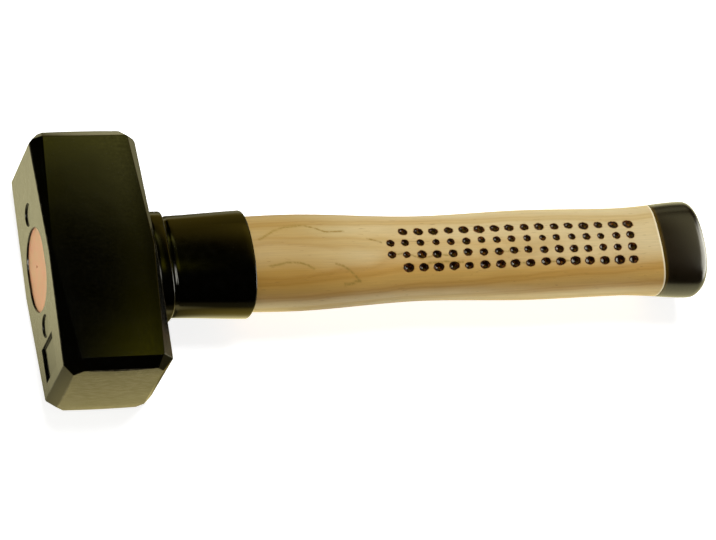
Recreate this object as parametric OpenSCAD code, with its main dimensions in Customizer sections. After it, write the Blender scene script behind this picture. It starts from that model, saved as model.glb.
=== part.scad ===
// Club hammer lying on one cheek: forged head, wedged wooden handle, steel neck sleeve, dipped end.
// X runs from the crown of the head to the end of the handle, Y runs along the head, Z is up.
// The origin is the centre of the cheek that the hammer rests on. All sizes are in millimetres.

/* [Head] */
// Length of the head between its two striking faces
head_length = 101.6; // [80:0.2:130]
// Thickness of the head from cheek to cheek
head_thick = 43; // [34:0.5:56]
// Height of the head from the crown to the grip side
head_height = 42; // [34:0.5:56]
// Chamfer between a striking face and the cheeks or the crown
face_chamfer = 4.5; // [1.5:0.1:6]
// Chamfer between a striking face and the grip side
grip_chamfer = 4.8; // [1.5:0.1:8]
// Chamfer between a striking face and the long edge chamfers on the crown side
crown_corner = 4.2; // [1.5:0.1:7]
// Chamfer between a striking face and the long edge chamfers on the grip side
grip_corner = 4.9; // [1.5:0.1:7]
// Width on the cheeks of the crown side edge chamfers at the striking end with the stamp field
edge_chamfer_near = 5.9; // [2:0.1:9]
// Width on the cheeks of the crown side edge chamfers at the other striking end
edge_chamfer_far = 4.2; // [2:0.1:9]
// Width on the cheeks of the grip side edge chamfers at both striking ends
edge_chamfer_grip = 4.5; // [2:0.1:9]
// Width on the cheeks of all long edge chamfers at mid length
edge_chamfer_mid = 1.2; // [0.5:0.1:5]
// Steepness of the edge chamfers at the far end, where 1 is half way between crown and cheek
edge_steep = 0.75; // [0.5:0.05:1]
// Rise of the domed striking faces over their half height
face_dome = 0.45; // [0.1:0.05:1.5]

/* [Marks on the crown] */
// Diameter of the two round marks beside the eye
mark_dia = 9; // [4:0.5:14]
// Distance of each round mark from the centre of the eye
mark_reach = 23.4; // [20:0.1:30]
// Depth of the round marks
mark_depth = 0.6; // [0.2:0.1:1.5]
// Depth of the blank stamp field
field_depth = 0.9; // [0.2:0.1:1.5]
// Width of the blank stamp field across the crown
field_width = 17; // [8:0.5:24]
// Length of the blank stamp field along the head
field_length = 13.6; // [6:0.2:18]
// Gap between the stamp field and the chamfer of the striking face
field_margin = 4.3; // [2:0.1:10]
// Offset of the stamp field from the middle of the crown
field_offset = -1.2; // [-4:0.1:4]

/* [Eye] */
// Radius of the round ends of the eye at the crown
eye_radius = 13; // [9:0.1:16]
// Straight part of the eye between its round ends
eye_straight = 7; // [4:0.5:14]
// Radius lost at the waist of the eye
eye_waist = 1.8; // [0.5:0.1:3]
// Radius lost at the grip side of the eye
eye_draft = 0.7; // [0.2:0.1:3]
// Offset of the eye from the middle of the head
eye_shift = 0.6; // [-3:0.1:3]
// Gap between the wood and the wall of the eye
eye_gap = 0.05; // [0.02:0.01:0.2]

/* [Wedges and seal] */
// Depth of the seal below the crown
seal_recess = 1.3; // [0.3:0.1:2]
// Thickness of the seal
seal_thick = 1.3; // [0.8:0.1:3]
// Diameter of the pore in the middle of the seal
pore_dia = 1.1; // [0.5:0.1:2]
// Offset of the pore from the middle of the seal
pore_offset = 0.8; // [-4:0.1:4]
// Thickness of the wooden wedge at its thick end
wedge_thick = 3.6; // [2:0.1:6]
// Thickness of the wooden wedge at its thin end
wedge_tip = 1.2; // [0.6:0.1:2]
// Length of the wooden wedge
wedge_length = 28; // [18:0.5:34]
// Outer diameter of the steel ring wedge
ring_dia = 16; // [12:0.5:20]
// Wall of the steel ring wedge
ring_wall = 1.8; // [1:0.1:3]
// Length of the steel ring wedge
ring_length = 15; // [10:0.5:20]

/* [Handle] */
// Length over all from the crown to the end of the handle
total_length = 273.9; // [220:0.1:360]
// Half width of the wood where it meets the head
neck_half = 17.6; // [14:0.1:22]
// Half width of the wood at its belly behind the sleeve
belly_half = 19.15; // [15:0.05:24]
// Half width of the wood at its waist
waist_half = 17; // [13:0.1:22]
// Half width of the wood at the grip
grip_half = 18.25; // [14:0.05:24]
// Half width of the wood in front of the flared end
heel_half = 17.9; // [14:0.1:24]
// Half width of the flared end, with its dipped coat
end_half = 19.8; // [15:0.1:26]
// Thickness of the wood as a share of its width
flatness = 0.76; // [0.6:0.01:1]
// Squareness of the oval section, where 2 is a true ellipse
oval_power = 2.3; // [2:0.1:3]
// Rounding of the end of the handle
end_round = 4.5; // [2:0.5:10]

/* [Dimples] */
// Number of columns of burnt dimples
dimple_columns = 17; // [3:1:24]
// Number of rows of dimples on each cheek of the handle
dimple_rows = 4; // [1:1:5]
// Distance between columns
column_pitch = 6.4; // [4:0.1:10]
// Distance between rows
row_pitch = 5; // [3.8:0.1:7]
// Distance of the first column from the grip side of the head
dimple_start = 96.5; // [80:0.5:130]
// Offset of the rows from the middle of the handle
row_offset = -1.8; // [-4:0.1:4]
// Diameter of a dimple
dimple_dia = 3.6; // [2:0.1:4.5]
// Depth of a dimple
dimple_depth = 0.8; // [0.3:0.05:1.2]

/* [Sleeve] */
// Length of the steel sleeve on the neck
sleeve_length = 40; // [25:0.5:60]
// Wall of the sleeve at the sides of the handle
sleeve_side = 2.3; // [1:0.1:4]
// Wall of the sleeve over the cheeks of the handle
sleeve_cheek = 1.3; // [0.8:0.1:3]
// Height of the collar ring above the body of the sleeve
collar_proud = 1.9; // [0.3:0.05:3]
// Length of the collar ring over the cheeks of the handle
collar_length = 6.2; // [4:0.1:10]
// Further length of the collar ring at the sides of the handle
collar_sweep = 1.6; // [0:0.1:5]
// Rounding of the edges of the collar ring
collar_edge = 0.5; // [0.3:0.1:1]
// Swell of the collar ring at its middle
collar_swell = 0.15; // [0:0.05:0.5]
// Depth of the groove behind the collar ring
groove_depth = 0.7; // [0.2:0.05:1.2]
// Length of the groove behind the collar ring
groove_length = 1.7; // [1.2:0.1:4]
// Rounding of the mouth of the sleeve
mouth_round = 1; // [0.4:0.1:1.2]
// Flare of the sleeve towards its mouth
mouth_flare = 0.35; // [0:0.05:0.8]
// Gap between the sleeve and the wood
sleeve_gap = 0.05; // [0.02:0.01:0.2]

/* [Dipped end] */
// Length of the dipped coat
dip_length = 20.5; // [12:0.2:60]
// Thickness of the dipped coat
dip_thick = 0.45; // [0.2:0.05:1.5]
// Shift of the front edge of the coat towards the end at the sides of the handle
dip_sweep = 1.8; // [0:0.1:4]

/* [Hidden] */
eps = 0.01;
steps_round = 48;
mid_z = head_thick / 2;
half_l = head_length / 2;
half_t = head_thick / 2;
crown_x = -head_height / 2;
grip_x = head_height / 2;
end_x = crown_x + total_length;
reach = 2 * max(head_length, total_length);
waist_share = 0.57;
waist_x = waist_share * head_height;
face_half = head_height / 2 - face_chamfer;
dome_radius = (face_half * face_half + face_dome * face_dome) / (2 * face_dome);
seal_x = crown_x + seal_recess;
tenon_x = seal_x + seal_thick;
handle_run = total_length - head_height;
dip_x = end_x - dip_length;
field_y = -half_l + face_chamfer + field_margin;
eye_axis = eye_straight / 2;

// Removes everything beyond the plane normal . point = offset.
module beyond(normal, offset) {
    size = norm(normal);
    lean = acos(normal[2] / size);
    turn = atan2(normal[1], normal[0]);
    translate(normal * offset / (size * size))
        rotate([0, lean, turn])
            translate([-reach, -reach, 0])
                cube([2 * reach, 2 * reach, reach]);
}

// Bar between two domed striking faces.
module domed_bar() {
    dome_y = half_l - dome_radius;
    intersection() {
        translate([crown_x, -head_length, -half_t])
            cube([head_height, 2 * head_length, head_thick]);
        translate([0, dome_y, 0])
            sphere(r = dome_radius, $fn = 240);
        translate([0, -dome_y, 0])
            sphere(r = dome_radius, $fn = 240);
    }
}

// Width of an edge chamfer at its end, for the side of the head it is on along X and Y.
function edge_end(x, y) = x > 0 ? edge_chamfer_grip : y > 0 ? edge_chamfer_far : edge_chamfer_near;

// Head centred on the middle of its height, length and thickness.
module head_block() {
    half_h = head_height / 2;
    difference() {
        domed_bar();
        for (y = [-1, 1]) {
            for (x = [-1, 1]) {
                steep = y > 0 ? edge_steep : 1;
                slope = (edge_end(x, y) - edge_chamfer_mid) / (half_l - face_chamfer);
                corner = x > 0 ? grip_corner : crown_corner;
                corner_half = (half_h + half_t - edge_end(x, y)) / sqrt(2);
                for (z = [-1, 1]) {
                    beyond([x, slope * y, steep * z], half_h - edge_chamfer_mid + steep * half_t);
                    beyond([x, sqrt(2) * y, z] / sqrt(2), half_l + corner_half - corner);
                }
            }
            for (z = [-1, 1])
                beyond([0, y, z], half_l + half_t - face_chamfer);
            beyond([-1, y, 0], half_l + head_height / 2 - face_chamfer);
            beyond([1, y, 0], half_l + head_height / 2 - grip_chamfer);
        }
    }
}

// Solid between two obrounds at x1 and x2: two cones and the straight prism between them.
module obround_step(x1, r1, x2, r2) {
    for (y = [-eye_axis, eye_axis])
        translate([x1, eye_shift + y, 0])
            rotate([0, 90, 0])
                cylinder(h = x2 - x1, r1 = r1, r2 = r2, $fn = 96);
    translate([0, eye_shift + eye_axis, 0])
        rotate([90, 0, 0])
            linear_extrude(height = eye_straight)
                polygon([[x1, -r1], [x2, -r2], [x2, r2], [x1, r1]]);
}

// Radius of the round ends of the eye at a depth below the crown.
function eye_r(depth) = depth < waist_x
    ? eye_radius - eye_waist * depth / waist_x
    : eye_radius - eye_waist + (eye_waist - eye_draft) * (depth - waist_x) / (head_height - waist_x);

// Eye between two depths, smaller by a gap all round.
module eye_core(from, to, gap) {
    lower = min(to, waist_x);
    obround_step(crown_x + from, eye_r(from) - gap, crown_x + lower, eye_r(lower) - gap);
    if (to > waist_x)
        obround_step(crown_x + waist_x, eye_r(waist_x) - gap, crown_x + to, eye_r(to) - gap);
}

// Blank recessed marks on the crown.
module crown_marks() {
    for (side = [-1, 1])
        translate([crown_x - 1, eye_shift + side * mark_reach, 0])
            rotate([0, 90, 0])
                cylinder(h = 1 + mark_depth, d = mark_dia, $fn = 64);
    translate([crown_x - 1, field_y, field_offset - field_width / 2])
        cube([1 + field_depth, field_length, field_width]);
}

module hammer_head() {
    color([0.06, 0.06, 0.05])
        translate([0, 0, mid_z])
            difference() {
                head_block();
                eye_core(-eps, head_height + eps, 0);
                crown_marks();
            }
}

// Smooth rise from 0 to 1 between two stations.
function ease(t) = t <= 0 ? 0 : t >= 1 ? 1 : t * t * (3 - 2 * t);
function between(x, x1, v1, x2, v2) = v1 + (v2 - v1) * ease((x - x1) / (x2 - x1));

// Stations along the handle as shares of its length beyond the head.
belly_share = 0.25;
thin_share = 0.488;
full_share = 0.694;
heel_share = 0.85;
flare_share = 0.98;
belly_x = grip_x + belly_share * handle_run;
thin_x = grip_x + thin_share * handle_run;
full_x = grip_x + full_share * handle_run;
heel_x = grip_x + heel_share * handle_run;
flare_x = grip_x + flare_share * handle_run;

// Half width of the handle, coat included, at a place along it.
function outer_half(x) =
    x < belly_x ? between(x, grip_x, neck_half, belly_x, belly_half)
    : x < thin_x ? between(x, belly_x, belly_half, thin_x, waist_half)
    : x < full_x ? between(x, thin_x, waist_half, full_x, grip_half)
    : x < heel_x ? between(x, full_x, grip_half, heel_x, heel_half)
    : between(x, heel_x, heel_half, flare_x, end_half);

// Loss of half width from the rounding of an end at end_at with radius r.
function round_loss(x, end_at, r) = x <= end_at - r
    ? 0
    : r - sqrt(max(0, r * r - pow(x - end_at + r, 2)));

// Point of the oval section with half sizes a and b at angle t.
function oval(a, b, t) = [
    a * sign(cos(t)) * pow(abs(cos(t)), 2 / oval_power),
    b * sign(sin(t)) * pow(abs(sin(t)), 2 / oval_power)
];

// Ring of points at x with half sizes a and b. Sweep moves the sides along X.
function ring_points(x, a, b, sweep) = [
    for (i = [0 : steps_round - 1])
        let (t = 360 * i / steps_round, p = oval(a, b, t))
            [x + sweep * pow(cos(t), 2), p[0], p[1]]
];

// Closed skin through rings: side faces and two caps.
module skin(rings) {
    count = len(rings);
    n = steps_round;
    points = [for (r = rings) for (p = r) p];
    walls = [
        for (k = [0 : count - 2])
            for (i = [0 : n - 1])
                let (j = (i + 1) % n, a = k * n, b = (k + 1) * n)
                    for (face = [[a + i, b + i, b + j], [a + i, b + j, a + j]]) face
    ];
    first = [for (i = [0 : n - 1]) i];
    last = [for (i = [n - 1 : -1 : 0]) (count - 1) * n + i];
    polyhedron(points = points, faces = concat(walls, [first], [last]), convexity = 6);
}

// Sweep of the coat's front edge, which fades over its length.
function dip_shift(x) = x < dip_x - 1 - eps
    ? 0
    : dip_sweep * max(0, 1 - max(0, x - dip_x) / (dip_length - end_round));

// Ring of the handle at x, thinner than the outer surface by an inset.
function handle_ring(x, inset, end_at, r) =
    let (loss = round_loss(x, end_at, r) + inset)
        ring_points(x, outer_half(x) - loss, flatness * outer_half(x) - loss, dip_shift(x));

// Places along the rounded end, by equal angles of the rounding.
function end_places(end_at, r) = [for (q = [15 : 15 : 90]) end_at - r + r * sin(q)];

// Even places between two ends, both included.
function places(x1, x2, parts) = [for (i = [0 : parts]) x1 + (x2 - x1) * i / parts];

// Height of the handle surface above its axis.
function surface_z(x, y) =
    let (a = outer_half(x), b = flatness * a)
        b * pow(1 - pow(abs(y) / a, oval_power), 1 / oval_power);

// Direction of the surface across the handle, as an angle from the vertical.
function surface_lean(x, y) =
    let (a = outer_half(x), b = flatness * a, z = surface_z(x, y))
        atan2(
            sign(y) * pow(abs(y), oval_power - 1) / pow(a, oval_power),
            pow(z, oval_power - 1) / pow(b, oval_power)
        );

// Dimples of one cheek. The outer rows leave out the first column.
module dimples() {
    rim = dimple_dia / 2;
    ball = (rim * rim + dimple_depth * dimple_depth) / (2 * dimple_depth);
    for (row = [0 : dimple_rows - 1])
        for (column = [0 : dimple_columns - 1]) {
            x = grip_x + dimple_start + column * column_pitch;
            y = row_offset + (row - (dimple_rows - 1) / 2) * row_pitch;
            outer_row = row == 0 || row == dimple_rows - 1;
            lean = surface_lean(x, y);
            lift = ball - dimple_depth;
            if (column > 0 || !outer_row)
                translate([x, y + lift * sin(lean), surface_z(x, y) + lift * cos(lean)])
                    sphere(r = ball, $fn = 32);
        }
}

// Tapered prism of the wooden wedge, across the whole eye, run out past its thick end.
module wedge_prism(run_out) {
    tip_x = tenon_x + wedge_length;
    thick = wedge_thick / 2 + run_out * (wedge_thick - wedge_tip) / 2 / wedge_length;
    translate([0, reach / 2, 0])
        rotate([90, 0, 0])
            linear_extrude(height = reach)
                polygon([
                    [tenon_x - run_out, -thick],
                    [tip_x, -wedge_tip / 2],
                    [tip_x, wedge_tip / 2],
                    [tenon_x - run_out, thick]
                ]);
}

// Tube of the ring wedge, run out past its top where it is cut from the wood.
module ring_tube(run_out) {
    translate([tenon_x - run_out, eye_shift, 0])
        rotate([0, 90, 0])
            difference() {
                cylinder(h = ring_length + run_out, d = ring_dia, $fn = 64);
                translate([0, 0, -1])
                    cylinder(h = ring_length + run_out + 2, d = ring_dia - 2 * ring_wall, $fn = 64);
            }
}

module tenon() {
    difference() {
        eye_core(seal_recess + seal_thick, head_height, eye_gap);
        wedge_prism(1);
        ring_tube(1);
    }
}

module handle_body() {
    run = concat(
        places(grip_x, grip_x + sleeve_length, 4),
        places(grip_x + sleeve_length + 6, dip_x - 4, 22)
    );
    tail = concat(places(dip_x, end_x - end_round, 5), end_places(end_x - dip_thick, end_round - dip_thick));
    skin(concat(
        [for (x = run) handle_ring(x, 0, end_x, end_round)],
        [for (x = tail) handle_ring(x, dip_thick, end_x - dip_thick, end_round - dip_thick)]
    ));
}

module handle() {
    color([0.72, 0.58, 0.38])
        translate([0, 0, mid_z])
            union() {
                tenon();
                difference() {
                    handle_body();
                    dimples();
                    rotate([180, 0, 0])
                        dimples();
                }
            }
}

// Ring of the sleeve at a distance from the head, raised above its plain body.
function sleeve_ring(d, raise, sweep) =
    let (x = grip_x + d, a = outer_half(x))
        ring_points(x, a + sleeve_side + raise, flatness * a + sleeve_cheek + raise, sweep);

// Rise of the sleeve's flare from 0 behind the collar ring to 1 at its mouth.
function flare(d) = ease((d - collar_length) / (sleeve_length - mouth_round - collar_length));

module handle_sleeve() {
    edge = collar_edge;
    collar_end = collar_length;
    body_start = collar_length + groove_length;
    straight_end = sleeve_length - mouth_round;
    wall = groove_length / 8;
    outside = concat(
        [sleeve_ring(0, collar_proud - edge, 0)],
        [sleeve_ring(edge * 0.3, collar_proud - edge * 0.3, 0)],
        [sleeve_ring(edge, collar_proud, 0)],
        [sleeve_ring(collar_end / 2, collar_proud + collar_swell, collar_sweep / 2)],
        [sleeve_ring(collar_end - edge, collar_proud, collar_sweep)],
        [sleeve_ring(collar_end - edge * 0.2, collar_proud - edge * 0.4, collar_sweep)],
        [sleeve_ring(collar_end + wall, -groove_depth, collar_sweep)],
        [sleeve_ring(body_start - 3 * wall, -groove_depth, collar_sweep)],
        [sleeve_ring(body_start - wall, -groove_depth * 0.3, collar_sweep)],
        [sleeve_ring(body_start + 2 * wall, 0, collar_sweep)],
        [for (d = places(body_start + edge * 8, straight_end, 6)) sleeve_ring(d, mouth_flare * flare(d), 0)],
        [for (q = [30 : 30 : 90])
            sleeve_ring(straight_end + mouth_round * sin(q), mouth_flare + mouth_round * (cos(q) - 1), 0)]
    );
    bore = [for (d = places(0, sleeve_length, 8)) handle_ring(grip_x + d, -sleeve_gap, end_x, end_round)];
    color([0.04, 0.04, 0.03])
        translate([0, 0, mid_z])
            difference() {
                skin(outside);
                skin(concat(
                    [ring_points(grip_x - 1, neck_half + sleeve_gap, flatness * neck_half + sleeve_gap, 0)],
                    bore,
                    [handle_ring(grip_x + sleeve_length + 1, -sleeve_gap, end_x, end_round)]
                ));
            }
}

module eye_seal() {
    color([0.82, 0.61, 0.45])
        translate([0, 0, mid_z])
            difference() {
                eye_core(seal_recess, seal_recess + seal_thick, eye_gap);
                translate([seal_x - 1, eye_shift, pore_offset])
                    rotate([0, 90, 0])
                        cylinder(h = 1.5, d = pore_dia, $fn = 24);
            }
}

module kerf_wedge() {
    color([0.6, 0.42, 0.24])
        translate([0, 0, mid_z])
            difference() {
                intersection() {
                    wedge_prism(0);
                    eye_core(seal_recess + seal_thick, head_height, eye_gap);
                }
                ring_tube(1);
            }
}

module ring_wedge() {
    color([0.5, 0.5, 0.5])
        translate([0, 0, mid_z])
            ring_tube(0);
}

module end_dip() {
    r = end_round;
    lip = dip_thick / 3;
    outside = concat(
        [handle_ring(dip_x, lip, end_x, r)],
        [handle_ring(dip_x + 2 * lip, 0, end_x, r)],
        [for (x = places(dip_x + 8 * lip, end_x - r, 5)) handle_ring(x, 0, end_x, r)],
        [for (x = end_places(end_x, r)) handle_ring(x, 0, end_x, r)]
    );
    inside = concat(
        [handle_ring(dip_x - 1, dip_thick, end_x - dip_thick, r - dip_thick)],
        [for (x = places(dip_x, end_x - r, 5)) handle_ring(x, dip_thick, end_x - dip_thick, r - dip_thick)],
        [for (x = end_places(end_x - dip_thick, r - dip_thick))
            handle_ring(x, dip_thick, end_x - dip_thick, r - dip_thick)]
    );
    color([0.2, 0.18, 0.1])
        translate([0, 0, mid_z])
            difference() {
                skin(outside);
                skin(inside);
            }
}

hammer_head();
handle();
handle_sleeve();
eye_seal();
kerf_wedge();
ring_wedge();
end_dip();
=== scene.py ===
import math
import bpy
import numpy as np
from mathutils import Matrix


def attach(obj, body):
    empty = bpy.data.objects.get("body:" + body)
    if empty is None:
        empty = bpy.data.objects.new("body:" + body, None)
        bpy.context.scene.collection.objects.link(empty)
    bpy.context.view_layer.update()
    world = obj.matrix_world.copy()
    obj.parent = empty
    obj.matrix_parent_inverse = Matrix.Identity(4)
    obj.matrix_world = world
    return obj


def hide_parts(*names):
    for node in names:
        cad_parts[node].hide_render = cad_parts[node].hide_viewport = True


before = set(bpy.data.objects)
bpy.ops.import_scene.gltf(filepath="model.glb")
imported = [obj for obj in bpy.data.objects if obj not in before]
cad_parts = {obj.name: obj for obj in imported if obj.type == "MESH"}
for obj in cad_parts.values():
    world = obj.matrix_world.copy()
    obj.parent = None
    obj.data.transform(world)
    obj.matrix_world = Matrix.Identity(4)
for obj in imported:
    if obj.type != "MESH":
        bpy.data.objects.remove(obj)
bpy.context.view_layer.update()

# Club hammer lying on one cheek, in metres: X from the crown to the end of the handle, Y along the
# head, Z up. Shapes are worked out in millimetres and turned to metres when a mesh is made.
MM = 0.001

# Head
HEAD_HEIGHT = 42.0
MID_Z = 21.5
CROWN_X = -21.0
GRIP_X = 21.0
# Eye
EYE_RADIUS = 13.0
EYE_HALF_STRAIGHT = 3.5
EYE_WAIST = 1.8
EYE_WAIST_SHARE = 0.57
EYE_DRAFT = 0.7
EYE_SHIFT = 0.6
EYE_GAP = 0.05
SEAL_X = CROWN_X + 0.8
TENON_X = CROWN_X + 2.6
PORE_Y = 3.0
PORE_Z = MID_Z - 1.9
PORE_RADIUS = 0.55
# Handle
END_X = 252.9
END_ROUND = 4.5
RUN = END_X - GRIP_X
STATIONS = GRIP_X + RUN * np.array([0.0, 0.25, 0.488, 0.694, 0.85, 0.98])
HALF_WIDTHS = np.array([17.6, 19.15, 17.0, 18.25, 17.9, 19.8])
FLATNESS = 0.76
OVAL_POWER = 2.3
# Dimples on each cheek. The radii go row by row, and the band is where the mesh is close, to either
# side of the rows' middle.
PIT_COLUMNS = 17
PIT_ROWS = 4
PIT_PITCH = 6.4
PIT_ROW_PITCH = 5.0
PIT_START = GRIP_X + 96.5
PIT_OFFSET = -1.8
PIT_RADII_ALONG = np.array([2.1, 1.76, 1.6, 1.98])
PIT_RADII_ACROSS = np.array([1.62, 1.5, 1.44, 1.66])
PIT_DEPTH = 0.8
PIT_BAND = 10.4
BURR_HEIGHT = 0.035
# Reach of a growth line to either side
LINE_REACH = 0.65
# Growth lines of the wood: X and the distance across of the points that each one runs through
GROWTH_LINES = (
    ((63.9, 3.3), (67.2, 5.2), (70.9, 7.4), (75.3, 8.8), (83.1, 9.4), (87.4, 8.1), (91.5, 6.1),
     (98.8, 6.3)),
    ((67.1, -7.6), (70.8, -7.1), (73.9, -6.5), (78.9, -6.8), (81.9, -7.7), (84.3, -9.2)),
    ((93.6, -7.5), (96.2, -8.2), (98.2, -9.4), (100.7, -11.4), (103.3, -13.5), (100.7, -14.2),
     (97.1, -14.8)),
    ((108.5, 2.7), (111.4, 1.9), (113.8, 1.0)),
    ((119.1, -4.2), (122.5, -3.7), (126.0, -4.7), (129.9, -6.1), (133.6, -5.3), (137.5, -4.8),
     (143.7, -5.4)),
    ((132.1, -7.8), (136.1, -7.7), (139.2, -7.4), (141.7, -7.7), (146.7, -7.9)),
    ((160.2, -4.4), (166.3, -4.6), (171.0, -4.7)),
    ((168.4, -9.2), (171.7, -9.4), (174.7, -9.3)),
    ((182.8, -9.4), (187.5, -9.2), (191.0, -9.1), (196.2, -9.5)),
)
# Sleeve: wall at the sides and on the cheeks, collar against the head, groove, flared mouth
SLEEVE_LENGTH = 40.0
SLEEVE_SIDE = 2.3
SLEEVE_CHEEK = 1.3
COLLAR_PROUD = 1.9
COLLAR_LENGTH = 6.2
COLLAR_SWEEP = 1.6
COLLAR_ROUND = 0.9
GROOVE_DEPTH = 0.7
GROOVE_LENGTH = 1.7
MOUTH_ROUND = 1.0
MOUTH_FLARE = 0.35
SLEEVE_GAP = 0.05
# Dipped end
DIP_LENGTH = 20.5
DIP_X = END_X - DIP_LENGTH
DIP_THICK = 0.45
DIP_SWEEP = 1.8
# Points round the sleeve and the dipped coat
RING_POINTS = 192


def ease(t):
    """Smooth rise from 0 to 1: three t squared less two t cubed, held at both ends."""
    t = np.clip(t, 0.0, 1.0)
    return t * t * (3.0 - 2.0 * t)


def half_width(x):
    """Half width of the handle at x: between two stations it follows the smooth rise from the one
    station's value to the next one's."""
    x = np.asarray(x, dtype=float)
    k = np.clip(np.searchsorted(STATIONS, x) - 1, 0, len(STATIONS) - 2)
    share = (x - STATIONS[k]) / (STATIONS[k + 1] - STATIONS[k])
    return HALF_WIDTHS[k] + (HALF_WIDTHS[k + 1] - HALF_WIDTHS[k]) * ease(share)


def round_loss(x, end_at, radius):
    """What the rounded end takes off the half width: the radius less the height of a quarter circle
    that starts one radius before the end."""
    past = np.clip(np.asarray(x, dtype=float) - end_at + radius, 0.0, radius)
    return radius - np.sqrt(radius * radius - past * past)


def dip_shift(x):
    """How far the coat's sides are swept towards the end at x: the full sweep at its front edge, then
    a straight fade to nothing where the end's rounding starts."""
    x = np.asarray(x, dtype=float)
    fade = 1.0 - np.clip((x - DIP_X) / (END_X - END_ROUND - DIP_X), 0.0, 1.0)
    return np.where(x < DIP_X - 1.0, 0.0, DIP_SWEEP * fade)


def oval(a, b, t):
    """Rounded oval: a cos t and b sin t, each with its size raised to two over the oval's power."""
    share = 2.0 / OVAL_POWER
    c, s = np.cos(t), np.sin(t)
    return a * np.sign(c) * np.abs(c) ** share, b * np.sign(s) * np.abs(s) ** share


def oval_rings(x, a, b, t, sweep=0.0):
    """Rings of the rounded oval, one for each x. Sweep moves a ring's sides along X by itself times
    cos t squared."""
    x, a, b, sweep = (np.broadcast_to(v, np.shape(x)).astype(float)[:, None] for v in (x, a, b, sweep))
    y, z = oval(a, b, t[None, :])
    return np.stack([x + sweep * np.cos(t[None, :]) ** 2, y, z + MID_Z], axis=2)


def eye_radius(x):
    """Radius of the eye's round ends at x: a straight loss from the crown to the waist, and a
    straight gain from there to the grip side."""
    depth = np.asarray(x, dtype=float) - CROWN_X
    waist = HEAD_HEIGHT * EYE_WAIST_SHARE
    return np.interp(
        depth,
        [0.0, waist, HEAD_HEIGHT],
        [EYE_RADIUS, EYE_RADIUS - EYE_WAIST, EYE_RADIUS - EYE_DRAFT],
    )


def obround_rings(x, radius, t):
    """Rings of two half circles joined by straights: a circle of the radius whose two halves are
    moved apart along Y by the half length of the straight."""
    x, radius = np.asarray(x, dtype=float)[:, None], np.asarray(radius, dtype=float)[:, None]
    c, s = np.cos(t[None, :]), np.sin(t[None, :])
    y = EYE_SHIFT + EYE_HALF_STRAIGHT * np.tanh(c * 60.0) + radius * c
    return np.stack([x + 0.0 * c, y, MID_Z + radius * s], axis=2)


def skin(name, rings, poles=True, marks=None):
    """Mesh through rings of equal count. Each four neighbouring points make a face, the ring closes
    on itself, and the first and last rings close with a pole at their middle or, without poles, join
    each other. Marks are named values for each point of the rings."""
    rows, count = rings.shape[:2]
    points = rings.reshape(-1, 3)
    step = np.arange(count)
    last_row = rows - 1 if poles else rows
    low = (np.arange(last_row) * count)[:, None]
    high = ((np.arange(last_row) + 1) % rows * count)[:, None]
    ahead = (step + 1) % count
    quads = np.stack(np.broadcast_arrays(low + step, low + ahead, high + ahead, high + step), axis=2)
    quads = quads.reshape(-1, 4)
    corners = quads.ravel()
    sizes = np.full(len(quads), 4)
    if poles:
        points = np.vstack([points, rings[0].mean(axis=0), rings[-1].mean(axis=0)])
        first, last = rows * count, rows * count + 1
        base = (rows - 1) * count
        start = np.stack([np.full(count, first), ahead, step], axis=1)
        end = np.stack([np.full(count, last), base + step, base + ahead], axis=1)
        corners = np.concatenate([corners, start.ravel(), end.ravel()])
        sizes = np.concatenate([sizes, np.full(2 * count, 3)])
    mesh = bpy.data.meshes.new(name)
    mesh.vertices.add(len(points))
    mesh.vertices.foreach_set("co", (points * MM).astype(np.float32).ravel())
    mesh.loops.add(len(corners))
    mesh.loops.foreach_set("vertex_index", corners.astype(np.int32))
    mesh.polygons.add(len(sizes))
    starts = np.concatenate([[0], np.cumsum(sizes)[:-1]])
    mesh.polygons.foreach_set("loop_start", starts.astype(np.int32))
    mesh.polygons.foreach_set("use_smooth", np.ones(len(sizes), dtype=bool))
    for mark, values in (marks or {}).items():
        layer = mesh.attributes.new(mark, "FLOAT", "POINT")
        padded = np.zeros(len(points), dtype=np.float32)
        padded[: values.size] = values.ravel()
        layer.data.foreach_set("value", padded)
    mesh.update(calc_edges=True)
    piece = bpy.data.objects.new(name, mesh)
    bpy.context.scene.collection.objects.link(piece)
    return piece


def section_angles(fine, coarse):
    """Angles round the handle's oval: the running sum of arc length over the wanted spacing, turned
    round, so that points are close over the dimples of both cheeks and wide at the sides."""
    t = np.linspace(0.0, 2.0 * np.pi, 8001)
    grip_half = 18.4
    y, z = oval(grip_half, grip_half * FLATNESS, t)
    arc = np.hypot(np.diff(y), np.diff(z))
    middle_y, middle_z = (y[1:] + y[:-1]) / 2.0, (z[1:] + z[:-1]) / 2.0
    over_pits = np.abs(middle_y * np.sign(middle_z) - PIT_OFFSET) < PIT_BAND
    need = np.concatenate([[0.0], np.cumsum(arc / np.where(over_pits, fine, coarse))])
    return np.interp(np.linspace(0.0, need[-1], int(need[-1]) + 1)[:-1], need, t)


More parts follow.
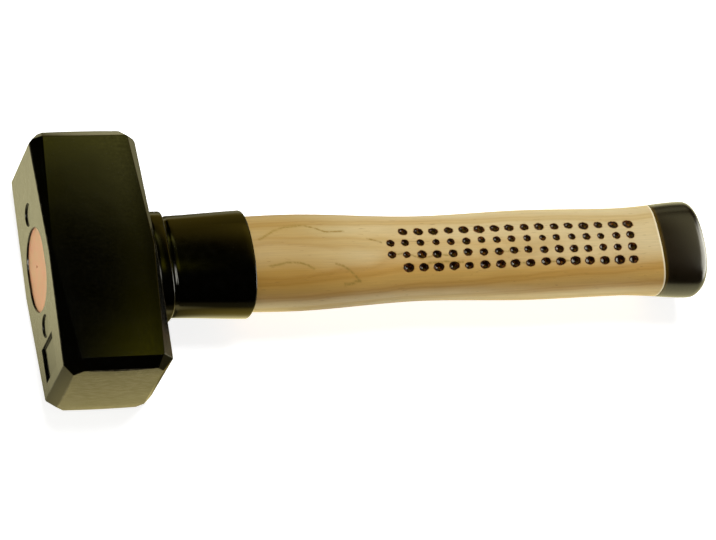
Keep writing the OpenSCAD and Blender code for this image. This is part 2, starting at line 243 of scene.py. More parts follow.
def pits(rings):
    """Dimples pressed into the rings, and how far each point is into one. A point takes the nearest
    place of the grid of rows and columns, on each cheek. Its depth is a parabola of its distance from
    there over the dimple's two radii, softened at the rim and followed by a low burr."""
    chance = np.random.default_rng(7)
    shape = (2, PIT_ROWS, PIT_COLUMNS)
    drift_x = chance.normal(0.0, 0.16, shape)
    drift_y = chance.normal(0.0, 0.12, shape)
    size = np.clip(chance.normal(1.0, 0.07, shape), 0.86, 1.12)
    depth = PIT_DEPTH * chance.uniform(0.82, 1.1, shape)
    x, y, z = rings[:, :, 0], rings[:, :, 1], rings[:, :, 2] - MID_Z
    side = np.where(z >= 0.0, 1.0, -1.0)
    across = y * side
    column = np.clip(np.rint((x - PIT_START) / PIT_PITCH), 0, PIT_COLUMNS - 1).astype(int)
    middle = (PIT_ROWS - 1) / 2.0
    row = np.clip(np.rint((across - PIT_OFFSET) / PIT_ROW_PITCH + middle), 0, PIT_ROWS - 1).astype(int)
    cheek = (side < 0.0).astype(int)
    pit_x = PIT_START + column * PIT_PITCH + drift_x[cheek, row, column]
    pit_y = PIT_OFFSET + (row - middle) * PIT_ROW_PITCH + drift_y[cheek, row, column]
    half = half_width(x)
    left = np.clip(half**OVAL_POWER - np.abs(pit_y) ** OVAL_POWER, 0.0, None)
    lift = FLATNESS * left ** (1.0 / OVAL_POWER)
    share_x = (x - pit_x) / PIT_RADII_ALONG[row]
    share_y = np.hypot(across - pit_y, z * side - lift) / PIT_RADII_ACROSS[row]
    reach = np.hypot(share_x, share_y) / size[cheek, row, column]
    left_out = (column == 0) & ((row == 0) | (row == PIT_ROWS - 1))
    reach = np.where(left_out | (np.abs(z) < 4.0), 9.0, reach)
    bowl = np.clip(1.0 - reach**2, 0.0, None)
    bowl = bowl * ease(bowl / 0.25) * 0.5 + bowl * 0.5
    burr = np.exp(-(((reach - 1.14) / 0.12) ** 2))
    sink = depth[cheek, row, column] * bowl - BURR_HEIGHT * burr
    thick = half * FLATNESS
    lean_y = np.sign(y) * np.abs(y) ** (OVAL_POWER - 1.0) / half**OVAL_POWER
    lean_z = np.sign(z) * np.abs(z) ** (OVAL_POWER - 1.0) / thick**OVAL_POWER
    lean = np.hypot(lean_y, lean_z)
    rings[:, :, 1] -= sink * lean_y / lean
    rings[:, :, 2] -= sink * lean_z / lean
    return np.clip(1.0 - reach / 1.5, 0.0, 1.0)


def growth_lines(x, across):
    """How near a point is to a growth line, from 1 on the line to 0 at the line's reach, by the least
    distance to the straight pieces between the line's points."""
    near = np.full(x.shape, 9.0)
    for line in GROWTH_LINES:
        for (x1, y1), (x2, y2) in zip(line, line[1:]):
            run = (x2 - x1) ** 2 + (y2 - y1) ** 2
            t = np.clip(((x - x1) * (x2 - x1) + (across - y1) * (y2 - y1)) / run, 0.0, 1.0)
            near = np.minimum(near, np.hypot(x - x1 - t * (x2 - x1), across - y1 - t * (y2 - y1)))
    return ease(1.0 - near / LINE_REACH)


def painted_flank_shade(x, t):
    """Share of painted shade, golden and darker: a band along the lower flank of each cheek, where the
    surface turns from the light, from 95 degrees round the section on and weaker past 155, a narrow one at
    48 degrees, and towards the sleeve, in the head's shade, more of it on the cheek and less along the
    lower rim, which starts at 148 degrees and takes the floor's bounce light."""
    turn = np.degrees(np.minimum(t, 2.0 * np.pi - t))
    band = ease((turn - 95.0) / 40.0) * (1.0 - 0.55 * ease((turn - 155.0) / 25.0))
    narrow = 0.15 * np.exp(-(((turn - 48.0) / 8.0) ** 2))
    near = 0.12 * ease((175.0 - x) / 50.0) + 0.33 * ease((105.0 - x) / 35.0)
    rim = ease((turn - 148.0) / 20.0)
    return band + narrow + near * (1.0 - rim) - 0.4 * rim * ease((175.0 - x) / 60.0)


def handle_piece():
    """Wooden handle as one closed skin: the tenon's obround rings in the eye, a flat shoulder, and
    oval rings whose half width follows the stations, thinner under the dipped coat."""
    t = section_angles(0.33, 0.9)
    waist_x = CROWN_X + EYE_WAIST_SHARE * HEAD_HEIGHT
    tenon_x = np.array([TENON_X, TENON_X + 0.01, -9.0, waist_x, 12.0, GRIP_X])
    tenon = obround_rings(tenon_x, eye_radius(tenon_x) - EYE_GAP, t)
    tenon[0] = tenon[0] * [1, 0.5, 0.5] + [0, 0.5 * EYE_SHIFT, 0.5 * MID_Z]
    open_x = np.concatenate([
        np.linspace(GRIP_X, 60.0, 12),
        np.linspace(60.8, 112.0, 60),
        np.arange(112.8, 224.8, 0.345),
        np.linspace(225.6, DIP_X - 1.6, 6),
        DIP_X - np.array([0.9, 0.7, 0.5, 0.35, 0.2]),
    ])
    turn = np.radians([12, 25, 38, 50, 62, 74, 84])
    inner_round = END_ROUND - DIP_THICK
    inner_end = END_X - DIP_THICK
    under_x = np.concatenate([
        np.linspace(DIP_X + 0.2, inner_end - inner_round, 9),
        inner_end - inner_round + inner_round * np.sin(turn),
        [inner_end],
    ])
    wide = half_width(open_x)
    front = DIP_SWEEP * ease((open_x - 222.0) / (DIP_X - 222.0))
    body = oval_rings(open_x, wide, FLATNESS * wide, t, front)
    under = half_width(under_x)
    loss = DIP_THICK + 0.02 + round_loss(under_x, inner_end, inner_round)
    tail = oval_rings(under_x, under - loss, FLATNESS * under - loss, t, dip_shift(under_x))
    x, side = body[:, :, 0].copy(), np.where(body[:, :, 2] >= MID_Z, 1.0, -1.0)
    across = body[:, :, 1] * side
    low = np.degrees(np.minimum(t, 2.0 * np.pi - t))[None, :]
    shown = {
        "burn": pits(body),
        "line": growth_lines(x, across),
        # Painted shade: golden and darker along the lower flanks and near the sleeve
        "flank_shade": painted_flank_shade(x, t[None, :]),
        # Painted shade: darker towards the sleeve, less along the lower rim
        "neck_shade": ease((118.0 - x) / 42.0) * (1.0 - 0.8 * ease((low - 150.0) / 22.0)),
        "bare": np.broadcast_to(0.85 * ease((open_x - DIP_X + 0.9) / 0.4)[:, None], x.shape),
    }
    marks = {}
    for mark, values in shown.items():
        marks[mark] = np.concatenate([values[:1]] * len(tenon) + [values] + [values[-1:]] * len(tail))
    return skin("ash_handle", np.concatenate([tenon, body, tail]), marks=marks)


def sleeve_piece():
    """Steel sleeve as one closed ring of rings: the outside from the head up a short ramp, over
    collar, groove and body to the rolled mouth, and the bore back to the head. Each ring is the
    handle's oval, raised by the wall and the profile's own height."""
    t = np.linspace(0.0, 2.0 * np.pi, RING_POINTS, endpoint=False)
    turn = np.radians(np.arange(0.0, 91.0, 15.0))
    collar_end = COLLAR_LENGTH
    body_start = COLLAR_LENGTH + GROOVE_LENGTH
    mouth_start = SLEEVE_LENGTH - MOUTH_ROUND
    profile = [
        (0.0, COLLAR_PROUD - 0.7),
        (0.08, COLLAR_PROUD - 0.54),
        (0.25, COLLAR_PROUD - 0.46),
        (1.45, COLLAR_PROUD - 0.1),
        (1.7, COLLAR_PROUD - 0.04),
        (2.1, COLLAR_PROUD),
        (3.6, COLLAR_PROUD),
    ]
    profile += list(zip(
        collar_end - COLLAR_ROUND + COLLAR_ROUND * np.sin(turn),
        COLLAR_PROUD - COLLAR_ROUND + COLLAR_ROUND * np.cos(turn),
    ))
    profile += [
        (collar_end + 0.06, 0.1),
        (collar_end + 0.14, -0.3),
        (collar_end + 0.3, -GROOVE_DEPTH + 0.1),
        (collar_end + 0.5, -GROOVE_DEPTH),
        (body_start, -0.13),
        (body_start + 0.25, -0.05),
        (body_start + 0.6, 0.0),
    ]
    profile += [(d, 0.0) for d in np.linspace(body_start + 2.0, mouth_start, 14)]
    profile += list(zip(
        mouth_start + MOUTH_ROUND * np.sin(turn[1:]),
        MOUTH_ROUND * (np.cos(turn[1:]) - 1.0),
    ))
    along, raised = np.array(profile).T
    raised = raised + MOUTH_FLARE * ease((along - collar_end) / (mouth_start - collar_end))
    sweep = COLLAR_SWEEP * ease(along / collar_end) * (1.0 - ease((along - body_start) / 3.0))
    wide = half_width(GRIP_X + along)
    outside = oval_rings(
        GRIP_X + along, wide + SLEEVE_SIDE + raised, FLATNESS * wide + SLEEVE_CHEEK + raised, t, sweep
    )
    back = np.linspace(SLEEVE_LENGTH, 0.0, 12)
    bore_half = half_width(GRIP_X + back)
    bore = oval_rings(GRIP_X + back, bore_half + SLEEVE_GAP, FLATNESS * bore_half + SLEEVE_GAP, t)
    return skin("neck_sleeve", np.concatenate([outside, bore]), poles=False)


def dip_piece():
    """Dipped coat as one closed skin: from the inner pole out to the lip, over a rounded lip, and
    along the outside round the end to the outer pole, on the handle's own oval."""
    t = np.linspace(0.0, 2.0 * np.pi, RING_POINTS, endpoint=False)
    turn = np.radians(np.arange(6.0, 90.0, 7.0))
    inner_round, inner_end = END_ROUND - DIP_THICK, END_X - DIP_THICK
    inside = np.concatenate([
        [inner_end],
        (inner_end - inner_round + inner_round * np.sin(turn))[::-1],
        np.linspace(inner_end - inner_round, DIP_X, 12),
    ])
    outside = np.concatenate([
        np.linspace(DIP_X + 0.45, END_X - END_ROUND, 22),
        END_X - END_ROUND + END_ROUND * np.sin(turn),
        [END_X],
    ])
    lip = DIP_X + np.array([0.0, 0.05, 0.14, 0.28])
    lip_loss = np.array([0.3, 0.18, 0.08, 0.02])
    inner_loss = DIP_THICK + round_loss(inside, inner_end, inner_round)
    outer_loss = round_loss(outside, END_X, END_ROUND)
    x = np.concatenate([inside, lip, outside])
    loss = np.concatenate([inner_loss, lip_loss, outer_loss])
    wide = half_width(x)
    lip_mark = np.broadcast_to(ease(1.0 - (x - DIP_X) / 2.0)[:, None], (len(x), len(t)))
    rings = oval_rings(x, wide - loss, FLATNESS * wide - loss, t, dip_shift(x))
    return skin("dipped_end", rings, marks={"lip": lip_mark})


def seal_piece():
    """Poured seal as one closed skin: a flat underside, a wall along the eye, and a top that climbs
    the wall in a short meniscus and sinks to a small pore. A ring blends from a circle round the pore
    to the eye's obround."""
    t = np.linspace(0.0, 2.0 * np.pi, 128, endpoint=False)
    share = np.concatenate([
        np.linspace(0.0, 0.06, 6),
        np.linspace(0.08, 0.9, 16),
        np.linspace(0.915, 1.0, 8),
    ])[::-1]
    wall = eye_radius(SEAL_X) - EYE_GAP
    rim = obround_rings(np.full(len(share), SEAL_X), np.full(len(share), wall), t)
    centre = np.stack([
        np.full((len(share), len(t)), SEAL_X),
        np.broadcast_to(PORE_Y + PORE_RADIUS * np.cos(t), (len(share), len(t))),
        np.broadcast_to(PORE_Z + PORE_RADIUS * np.sin(t), (len(share), len(t))),
    ], axis=2)
    blend = share[:, None, None]
    top = centre * (1.0 - blend) + rim * blend
    away = np.clip(1.0 - share, 0.0, 1.0)
    top[:, :, 0] += 0.12 - 0.12 * np.exp(-away / 0.03)[:, None] + 0.1 * np.exp(-share / 0.03)[:, None]
    hole = np.repeat(top[-1:], 3, axis=0)
    hole[:, :, 0] += np.array([0.12, 0.4, 0.6])[:, None]
    hole[1:, :, 1:] = hole[1:, :, 1:] * 0.85 + 0.15 * hole[1:, :, 1:].mean(axis=1, keepdims=True)
    low_x = np.array([TENON_X - 0.02, TENON_X - 0.02])
    low = obround_rings(low_x, np.array([wall * 0.6, wall - 0.05]), t)
    rings = np.concatenate([low, top, hole])
    rings[:, :, 0] = np.clip(rings[:, :, 0], CROWN_X + 0.25, None)
    return skin("eye_seal_pour", rings[::-1])


def colour(code):
    """sRGB hex value as the linear colour that a shader socket takes."""
    parts = [int(code[i : i + 2], 16) / 255.0 for i in (1, 3, 5)]
    return tuple(v / 12.92 if v <= 0.04045 else ((v + 0.055) / 1.055) ** 2.4 for v in parts) + (1.0,)


def put(tree, kind, own=None, sockets=None, stops=None):
    """Adds one node to a tree. Own are its properties, sockets the value of each socket or the output
    that feeds it, and stops the places and colours of a ramp."""
    node = tree.nodes.new(kind)
    for key, value in (own or {}).items():
        setattr(node, key, value)
    for key, given in (sockets or {}).items():
        if isinstance(given, bpy.types.NodeSocket):
            tree.links.new(given, node.inputs[key])
        else:
            node.inputs[key].default_value = given
    if stops:
        elements = node.color_ramp.elements
        for place, tone in stops[2:]:
            elements.new(place)
        for element, (place, tone) in zip(elements, sorted(stops)):
            element.position = place
            element.color = tone if isinstance(tone, tuple) else (tone, tone, tone, 1.0)
    return node


def start(name):
    """New empty node material, its tree and its Object coordinates."""
    material = bpy.data.materials.new(name)
    material.use_nodes = True
    material.node_tree.nodes.clear()
    place = put(material.node_tree, "ShaderNodeTexCoord")
    return material, material.node_tree, place.outputs["Object"]


def close(tree, shader):
    """Ends a material at its shader."""
    put(tree, "ShaderNodeOutputMaterial", sockets={"Surface": shader.outputs[0]})


def noise(tree, place, scale, detail, roughness=0.5):
    """Noise with so many features to the metre, or with so many along each of X, Y and Z."""
    if isinstance(scale, tuple):
        place = put(tree, "ShaderNodeMapping", sockets={"Vector": place, "Scale": scale}).outputs[0]
        scale = 1.0
    return put(tree, "ShaderNodeTexNoise", sockets={
        "Vector": place, "Scale": scale, "Detail": detail, "Roughness": roughness,
    }).outputs["Fac"]


def mark(tree, name):
    """A piece's own value at each point of its mesh."""
    return put(tree, "ShaderNodeAttribute", {"attribute_name": name}).outputs["Fac"]


def figure(tree, operation, *terms):
    """Result of one operation on its terms."""
    return put(tree, "ShaderNodeMath", {"operation": operation}, dict(enumerate(terms))).outputs[0]


def span(tree, value, low, high, since=0.0, until=1.0):
    """Goes from low to high while a value goes from since to until, and is held at both ends."""
    return put(tree, "ShaderNodeMapRange", sockets={
        "Value": value, "From Min": since, "From Max": until, "To Min": low, "To Max": high,
    }).outputs[0]


def fade(tree, share, under, over):
    """Number that goes from one to the other by a share."""
    return put(tree, "ShaderNodeMix", {"data_type": "FLOAT"}, {0: share, 2: under, 3: over}).outputs[0]


def blend(tree, share, under, over, way="MIX"):
    """Colour laid over another one by a share."""
    own = {"data_type": "RGBA", "blend_type": way}
    return put(tree, "ShaderNodeMix", own, {0: share, 6: under, 7: over}).outputs[2]


def ramp(tree, value, *stops):
    """Colour that follows a value through stops, each a place and a tone."""
    return put(tree, "ShaderNodeValToRGB", sockets={"Fac": value}, stops=stops).outputs[0]


def relief(tree, height, strength, depth, under=None):
    """Bump, alone or on top of another one."""
    sockets = {"Height": height, "Strength": strength, "Distance": depth}
    if under:
        sockets["Normal"] = under
    return put(tree, "ShaderNodeBump", sockets=sockets).outputs[0]


def lacquered_ash():
    """Pale ash under clear lacquer, turned and sanded: growth rings 6.5 mm apart cut at a slant,
    fibres 0.5 mm wide, brown pores up to 4 mm long, and burnt dimples. The eye sees warm straw with
    soft darker arches, near-black pits and a satin gloss."""
    material, tree, place = start("lacquered_ash")
    # Painted shade: pale straw turning golden and darker along the lower flanks and towards the sleeve,
    # its border wandering 35 mm along, 9 mm across
    wander = figure(tree, "MULTIPLY_ADD", noise(tree, place, (28.0, 110.0, 110.0), 2.0), 0.7, -0.35)
    flank_shade = put(tree, "ShaderNodeMath", {"operation": "ADD", "use_clamp": True}, {
        0: mark(tree, "flank_shade"), 1: wander,
    }).outputs[0]
    wood = blend(tree, flank_shade, colour("#CDB98B"), colour("#C59D53"))
    # Painted shade: darker towards the sleeve, where the head shades the handle, and less so along the
    # lower rim
    wood = blend(tree, mark(tree, "neck_shade"), wood, colour("#E7E4D7"), "MULTIPLY")
    # Growth rings: 0.314 over the spacing in metres
    lean = put(tree, "ShaderNodeMapping", sockets={
        "Vector": place, "Location": (0.0, 0.013, -0.052),
        "Rotation": (0.0, math.radians(2.2), math.radians(-2.6)),
    })
    rings = put(tree, "ShaderNodeTexWave", {"wave_type": "RINGS", "rings_direction": "X"}, {
        "Vector": lean.outputs[0], "Scale": 0.314 / 0.0065, "Distortion": 3.2,
        "Detail": 3.0, "Detail Scale": 0.35, "Detail Roughness": 0.6,
    })
    ring_tone = ramp(
        tree, rings.outputs["Fac"],
        (0.0, colour("#FFFFFF")), (0.6, colour("#FDFAF4")),
        (0.88, colour("#F0E5CE")), (1.0, colour("#F7F0E0")),
    )
    wood = blend(tree, 1.0, wood, ring_tone, "MULTIPLY")
    # Fibres: 0.5 mm across, 25 mm along
    fibres = noise(tree, place, (40.0, 2000.0, 2000.0), 3.0, 0.6)
    wood = blend(tree, 1.0, wood, ramp(tree, fibres, (0.3, 0.92), (0.7, 1.05)), "MULTIPLY")
    # Pores and flecks: 0.5 mm across, 4 mm along
    fleck_place = put(tree, "ShaderNodeMapping", sockets={
        "Vector": place, "Rotation": (0.0, 0.0, math.radians(-3.0)), "Scale": (260.0, 1900.0, 1900.0),
    })
    flecks = noise(tree, fleck_place.outputs[0], 1.0, 1.0, 0.4)
    wood = blend(tree, span(tree, flecks, 0.0, 0.4, 0.69, 0.78), wood, colour("#7A5526"))
    # Thin growth lines, broken up every millimetre or so
    rag = noise(tree, place, 900.0, 2.0)
    dashes = span(tree, rag, 0.35, 1.0, 0.36, 0.56)
    wood = blend(tree, figure(tree, "MULTIPLY", mark(tree, "line"), dashes), wood, colour("#8F7430"))
    # Paler band of wood just before the dipped coat's edge
    wood = blend(tree, mark(tree, "bare"), wood, colour("#E9DDBB"))
    # Burnt dimples with a ragged rim, scorched brown round the char
    burn = mark(tree, "burn")
    edge = figure(tree, "ADD", burn, figure(tree, "MULTIPLY_ADD", rag, 0.26, -0.13))
    wood = blend(tree, span(tree, edge, 0.0, 0.75, 0.2, 0.33), wood, colour("#94631F"))
    char = span(tree, edge, 0.0, 1.0, 0.3, 0.355)
    char_tone = ramp(
        tree, rag,
        (0.38, colour("#0E0300")), (0.56, colour("#200B02")), (0.74, colour("#643610")),
    )
    wood = blend(tree, char, wood, char_tone)
    # Satin lacquer, dull char that hardly shines, and varnish that pools in the bottom of each dimple
    puddle = span(tree, burn, 0.0, 1.0, 0.5, 0.6)
    dull = fade(tree, char, span(tree, fibres, 0.3, 0.42), 0.8)
    dim = span(tree, char, 0.5, 0.1)
    close(tree, put(tree, "ShaderNodeBsdfPrincipled", sockets={
        "Base Color": wood, "IOR": 1.5, "Roughness": fade(tree, puddle, dull, 0.06),
        "Specular IOR Level": fade(tree, puddle, dim, 0.5), "Normal": relief(tree, fibres, 0.12, 0.0001),
    }))
    return material


def black_lacquer():
    """Black stoving lacquer sprayed on forged and ground steel: soft waves of the forging 12 mm apart,
    orange peel 1.2 mm apart, grey grinding streaks on the four upright faces. The eye sees deep black
    that turns pale where it mirrors the floor."""
    material, tree, place = start("black_lacquer_on_steel")
    waves = noise(tree, place, 1.0 / 0.012, 1.0)
    peel = noise(tree, place, 1.0 / 0.0012, 2.0)
    tone = ramp(tree, waves, (0.3, colour("#010100")), (0.7, colour("#030302")))
    # Grinding streaks: 0.9 mm apart, 3 mm long
    streaks = noise(tree, place, (320.0, 320.0, 1100.0), 3.0, 0.6)
    parts = put(tree, "ShaderNodeSeparateXYZ", sockets={"Vector": place}).outputs
    crown_and_grip = span(tree, figure(tree, "ABSOLUTE", parts["X"]), 0.0, 1.0, 20.6 * MM, 20.9 * MM)
    striking = span(tree, figure(tree, "ABSOLUTE", parts["Y"]), 0.0, 1.0, 49.8 * MM, 50.0 * MM)
    upright = figure(tree, "MAXIMUM", crown_and_grip, striking)
    haze = figure(tree, "MULTIPLY", upright, span(tree, streaks, 0.18, 0.74, 0.4, 0.66))
    swell = relief(tree, waves, 0.25, 0.0002)
    close(tree, put(tree, "ShaderNodeBsdfPrincipled", sockets={
        "Base Color": blend(tree, haze, tone, colour("#585240")), "IOR": 1.62,
        "Roughness": span(tree, peel, 0.12, 0.2, 0.3, 0.7),
        "Normal": relief(tree, peel, 0.12, 0.00006, swell),
    }))
    return material


def gloss_enamel():
    """Black enamel dipped on pressed sheet steel: very smooth, with faint runs 3 mm apart. The eye
    sees a wet black with thin clean lights along its edges."""
    material, tree, place = start("gloss_enamel_on_sheet_steel")
    runs = noise(tree, place, 1.0 / 0.003, 1.0)
    close(tree, put(tree, "ShaderNodeBsdfPrincipled", sockets={
        "Base Color": ramp(tree, runs, (0.3, colour("#010100")), (0.7, colour("#020201"))), "IOR": 1.52,
        "Roughness": span(tree, runs, 0.1, 0.2), "Normal": relief(tree, runs, 0.06, 0.0001),
    }))
    return material


def dipped_coat():
    """Dark brown-black varnish paint, dipped: thick and satin, with fine dust nibs 0.8 mm apart. The
    eye sees a soft olive sheen on top and a near-black middle."""
    material, tree, place = start("dipped_varnish_paint")
    nibs = noise(tree, place, 1.0 / 0.0008, 2.0)
    sag = noise(tree, place, 1.0 / 0.009, 1.0)
    tone = ramp(tree, sag, (0.3, colour("#140E05")), (0.7, colour("#1B1409")))
    # Thin and brown along the lip
    tone = blend(tree, mark(tree, "lip"), tone, colour("#4A3708"))
    swell = relief(tree, sag, 0.2, 0.0003)
    close(tree, put(tree, "ShaderNodeBsdfPrincipled", sockets={
        "Base Color": tone, "IOR": 1.5,
        "Roughness": span(tree, nibs, 0.16, 0.28), "Normal": relief(tree, nibs, 0.1, 0.00008, swell),
    }))
    return material


def poured_resin():
    """Salmon resin poured over the wedged tenon and left to set: waxy, with cloudy patches 5 mm
    across and a grain 0.6 mm apart. The eye sees soft salmon that turns to tan here and there."""
    material, tree, place = start("poured_salmon_resin")
    patches = noise(tree, place, 1.0 / 0.005, 2.0)
    grain = noise(tree, place, 1.0 / 0.0006, 2.0)
    close(tree, put(tree, "ShaderNodeBsdfPrincipled", sockets={
        "Base Color": ramp(tree, patches, (0.3, colour("#D49572")), (0.7, colour("#CC9D73"))), "IOR": 1.45,
        "Roughness": 0.5, "Subsurface Weight": 0.1, "Subsurface Scale": 0.001,
        "Normal": relief(tree, grain, 0.15, 0.0001),
    }))
    return material


def raw_beech():
    """Raw beech of the wooden wedge, sawn: short fibres 0.4 mm apart. The eye sees dull pinkish wood."""
    material, tree, place = start("raw_beech")
    fibres = noise(tree, place, (120.0, 2500.0, 2500.0), 3.0)
    close(tree, put(tree, "ShaderNodeBsdfPrincipled", sockets={
        "Base Color": ramp(tree, fibres, (0.3, colour("#A87C50")), (0.7, colour("#BE9264"))),
        "Roughness": 0.7, "Normal": relief(tree, fibres, 0.3, 0.0001),
    }))
    return material


def drawn_steel():
    """Drawn mild steel of the ring wedge: fine scratches along it, 0.3 mm apart. The eye sees grey."""
    material, tree, place = start("drawn_mild_steel")
    scratches = noise(tree, place, (150.0, 3000.0, 3000.0), 2.0)
    close(tree, put(tree, "ShaderNodeBsdfPrincipled", sockets={
        "Base Color": ramp(tree, scratches, (0.3, colour("#7E7C78")), (0.7, colour("#9A9893"))),
        "Metallic": 1.0, "Roughness": span(tree, scratches, 0.3, 0.5),
    }))
    return material


def dress(piece, material):
    """Gives a piece its material and slot, and a new piece its body."""
    piece.data.materials.clear()
    piece.data.materials.append(material)
    if piece.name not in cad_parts:
        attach(piece, "root")


def soften(piece, width):
    """Joins a CAD node's loose triangles, clears the edges inside its flat faces, those under 0.4
    degrees, and rounds its sharp edges, those over 20 degrees, by a small width."""
    weld = piece.modifiers.new("join", "WELD")
    weld.merge_threshold = 0.000002
    flat = piece.modifiers.new("flat faces", "DECIMATE")
    flat.decimate_type = "DISSOLVE"
    flat.angle_limit = math.radians(0.4)
    bevel = piece.modifiers.new("soft edges", "BEVEL")
    bevel.width = width * MM
    bevel.segments = 3
    bevel.limit_method = "ANGLE"
    bevel.angle_limit = math.radians(20.0)
    bevel.harden_normals = True


# Pieces
handle = handle_piece()
sleeve = sleeve_piece()
dip = dip_piece()
seal = seal_piece()
for piece, node in ((handle, "handle"), (sleeve, "handle_sleeve"), (dip, "end_dip"), (seal, "eye_seal")):
    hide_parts(node)
dress(handle, lacquered_ash())
dress(sleeve, gloss_enamel())
dress(dip, dipped_coat())
dress(seal, poured_resin())
dress(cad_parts["hammer_head"], black_lacquer())
dress(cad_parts["kerf_wedge"], raw_beech())
dress(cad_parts["ring_wedge"], drawn_steel())
soften(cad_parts["hammer_head"], 0.45)


def pool(tree, place, centre, reach, inner, strength):
    """Soft pool of light: full within the inner share of its reach from the centre, then a smooth
    fall to nothing at the full reach. Centre and reach are in millimetres along X, Y and Z."""
    shift = put(tree, "ShaderNodeMapping", sockets={
        "Vector": place,
        "Location": tuple(-c / r for c, r in zip(centre, reach)),
        "Scale": tuple(1.0 / (r * MM) for r in reach),
    })
    away = put(tree, "ShaderNodeVectorMath", {"operation": "LENGTH"}, {0: shift.outputs[0]})
    return put(tree, "ShaderNodeMapRange", {"interpolation_type": "SMOOTHSTEP"}, {
        "Value": away.outputs["Value"], "From Min": inner, "From Max": 1.0,
        "To Min": strength, "To Max": 0.0,
    }).outputs[0]


def glow_sum(tree, place, pools, base):
    """Emission that adds up coloured pools of light over a dim base."""
    total = put(tree, "ShaderNodeEmission", sockets={"Color": base[0] + (1.0,), "Strength": base[1]})
    for tone, centre, reach, inner, strength in pools:
        light = put(tree, "ShaderNodeEmission", sockets={
            "Color": tone + (1.0,), "Strength": pool(tree, place, centre, reach, inner, strength),
        })
        total = put(tree, "ShaderNodeAddShader", sockets={0: total.outputs[0], 1: light.outputs[0]})
    return total


# Tints of the studio as the dark lacquers mirror them, linear
WHITE = (1.0, 1.0, 1.0)
STRAW = (1.0, 0.93, 0.53)
OCHRE = (1.0, 0.84, 0.34)
AMBER = (1.0, 0.71, 0.09)
OLIVE = (1.0, 0.92, 0.04)
PALE_OLIVE = (1.0, 0.93, 0.26)
SILVER = (1.0, 0.98, 0.86)
WARM_WHITE = (1.0, 0.97, 0.9)


def floor_material():
    """Plain white studio floor. The camera sees it near white with the object's shadow, glossy rays
    see warm pools of light round the object, with the head's shade over the neck of the handle."""
    material, tree, place = start("studio_floor")
    path = put(tree, "ShaderNodeLightPath").outputs
    paint = put(tree, "ShaderNodeBsdfDiffuse", sockets={"Color": colour("#E2E2E2")})
    bounced = figure(tree, "MULTIPLY", path["Is Diffuse Ray"], 0.9)
    seen = figure(tree, "MULTIPLY_ADD", path["Is Camera Ray"], 0.84, bounced)
    glow = put(tree, "ShaderNodeEmission", sockets={"Color": WHITE + (1.0,), "Strength": seen})
    shown = put(tree, "ShaderNodeAddShader", sockets={0: paint.outputs[0], 1: glow.outputs[0]})
    # Each pool: tint, centre, reach, share that is full, strength
    mirrored = glow_sum(tree, place, [
        (STRAW, (-60, 34, 0), (95, 122, 50), 0.35, 1.06),
        (OCHRE, (8, -67, 0), (54, 31, 50), 0.5, 1.04),
        (STRAW, (34, 128, 0), (62, 60, 50), 0.0, 0.85),
        (STRAW, (95, 80, 0), (62, 60, 50), 0.2, 0.45),
        (STRAW, (290, 10, 0), (200, 180, 50), 0.45, 1.3),
        (AMBER, (70, -38, 0), (44, 36, 50), 0.2, 0.64),
        (STRAW, (60, -14, 0), (34, 20, 50), 0.5, 1.1),
        (AMBER, (110, 260, 0), (130, 190, 50), 0.5, 0.35),
        (OCHRE, (150, 0, 0), (420, 420, 50), 0.3, 0.12),
    ], (AMBER, 0.01))
    either = figure(tree, "MAXIMUM", path["Is Glossy Ray"], path["Is Transmission Ray"])
    close(tree, put(tree, "ShaderNodeMixShader", sockets={
        0: either, 1: shown.outputs[0], 2: mirrored.outputs[0],
    }))
    return material


def card_material(name, pools):
    """Soft reflecting card that is lit in pools."""
    material, tree, place = start(name)
    close(tree, glow_sum(tree, place, pools, (WHITE, 0.0)))
    return material


def flat_plate(name, corners, material):
    """Four-cornered plate of the studio, its corners in millimetres."""
    mesh = bpy.data.meshes.new(name)
    mesh.from_pydata([[v * MM for v in corner] for corner in corners], [], [[0, 1, 2, 3]])
    mesh.materials.append(material)
    plate = bpy.data.objects.new(name, mesh)
    bpy.context.scene.collection.objects.link(plate)
    return plate


def only_mirrored(plate):
    """Leaves a plate to be seen by mirror rays alone."""
    plate.visible_camera = False
    plate.visible_diffuse = False
    plate.visible_transmission = False
    plate.visible_volume_scatter = False
    plate.visible_shadow = False


def ceiling(x1, x2, y1, y2, height=193):
    """Corners of a level card above the floor, facing down."""
    return [(x1, y1, height), (x1, y2, height), (x2, y2, height), (x2, y1, height)]


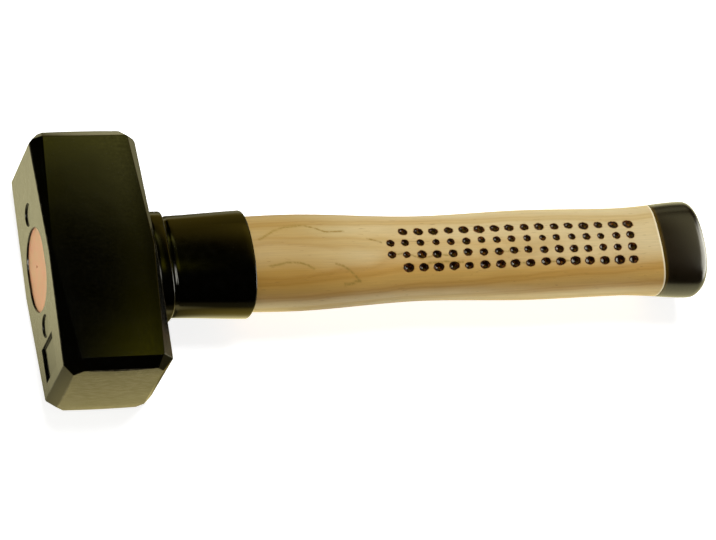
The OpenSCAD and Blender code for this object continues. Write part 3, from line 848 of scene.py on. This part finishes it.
far, below = 3000, -0.05
floor_corners = [(-far, -far, below), (far, -far, below), (far, far, below), (-far, far, below)]
flat_plate("floor", floor_corners, floor_material())
for card_name, corners, pools in (
    ("head_card", ceiling(-60, 66, -140, 230), [
        (SILVER, (-28, -62, 193), (24, 76, 50), 0.7, 7.0),
        (PALE_OLIVE, (92, 136, 193), (100, 72, 50), 0.0, 0.96),
        (OLIVE, (10, 148, 193), (34, 96, 50), 0.0, 0.22),
        (OLIVE, (32, 136, 193), (100, 22, 50), 0.4, 0.28),
        (PALE_OLIVE, (72, 112, 193), (20, 60, 50), 0.0, 0.6),
        (OLIVE, (68, 30, 193), (20, 100, 50), 0.0, 0.24),
        (OLIVE, (60, 8, 193), (36, 40, 50), 0.0, 0.52),
    ]),
    ("neck_card", ceiling(66, 262, -60, 400), [
        (AMBER, (110, 240, 193), (70, 190, 50), 0.4, 0.22),
        (AMBER, (200, 160, 193), (120, 260, 50), 0.0, 1.1),
        (AMBER, (160, 385, 193), (90, 130, 50), 0.3, 0.26),
    ]),
    ("end_card", ceiling(262, 345, -200, 200, 100), [
        (STRAW, (300, 46, 100), (49, 139, 50), 0.3, 1.05),
        (SILVER, (345, -15, 100), (66, 105, 50), 0.45, 7.5),
    ]),
    ("side_card", [(345, -200, 0), (345, -200, 100), (345, 200, 100), (345, 200, 0)], [
        (SILVER, (345, -15, 50), (50, 95, 100), 0.45, 8.5),
    ]),
    ("high_card", ceiling(560, 860, -300, 260, 600), [
        (SILVER, (710, -20, 600), (110, 230, 50), 0.7, 13.0),
    ]),
    ("back_card", [(-100, 400, 0), (-100, 400, 193), (700, 400, 193), (700, 400, 0)], [
        (AMBER, (180, 400, 193), (200, 50, 420), 0.3, 0.36),
        (STRAW, (430, 400, 193), (200, 50, 220), 0.3, 0.72),
    ]),
):
    only_mirrored(flat_plate(card_name, corners, card_material(card_name + "_glow", pools)))


def lamp(name, at, aim, size, power, tone):
    """Soft area lamp that lights the object but isn't mirrored in it."""
    light = bpy.data.lights.new(name, "AREA")
    light.color = tone
    light.shape = "DISK"
    light.size = size
    light.energy = power
    holder = bpy.data.objects.new(name, light)
    bpy.context.scene.collection.objects.link(holder)
    holder.visible_glossy = False
    back = np.array(at) - np.array(aim)
    back = back / np.linalg.norm(back)
    side = np.cross([0.0, 0.0, 1.0], back)
    side = side / np.linalg.norm(side)
    up = np.cross(back, side)
    turn = Matrix(np.array([side, up, back]).T.tolist()).to_4x4()
    turn.translation = at
    holder.matrix_world = turn


lamp("key", (0.2, 0.4, 1.15), (0.12, 0.0, 0.02), 0.7, 14.0, WHITE)
lamp("left_fill", (-1.2, -0.1, 0.25), (0.0, 0.0, 0.02), 0.5, 3.0, (1.0, 1.0, 0.76))

# World: white to the camera, near dark in the mirror, a soft warm fill for the rest
world = bpy.data.worlds.new("studio")
bpy.context.scene.world = world
world.use_nodes = True
sky = world.node_tree
sky.nodes.clear()


def sky_light(tone, strength):
    """Even light from all round."""
    return put(sky, "ShaderNodeBackground", sockets={
        "Color": tone + (1.0,), "Strength": strength,
    }).outputs[0]


ray = put(sky, "ShaderNodeLightPath").outputs
lit = put(sky, "ShaderNodeMixShader", sockets={
    0: ray["Is Glossy Ray"], 1: sky_light(WARM_WHITE, 0.12), 2: sky_light(AMBER, 0.004),
})
shown = put(sky, "ShaderNodeMixShader", sockets={
    0: ray["Is Camera Ray"], 1: lit.outputs[0], 2: sky_light(WHITE, 1.0),
})
put(sky, "ShaderNodeOutputWorld", sockets={"Surface": shown.outputs[0]})

# Camera at the photograph's viewing angle, with its focal length and width in the photograph's pixels
FOCAL_LENGTH = 3300.0
PHOTO_WIDTH = 716.0
camera_data = bpy.data.cameras.new("camera")
camera_data.sensor_fit = "HORIZONTAL"
camera_data.sensor_width = 36.0
camera_data.lens = FOCAL_LENGTH * camera_data.sensor_width / PHOTO_WIDTH
camera_data.clip_start = 0.01
camera_data.clip_end = 20.0
camera = bpy.data.objects.new("camera", camera_data)
bpy.context.scene.collection.objects.link(camera)
camera.location = (-0.3343, -0.5253, 1.1139)
camera.rotation_euler = tuple(math.radians(v) for v in (27.491, -17.11, -10.801))
bpy.context.scene.camera = camera
bpy.context.scene.view_settings.view_transform = "Standard"

bpy.context.view_layer.update()
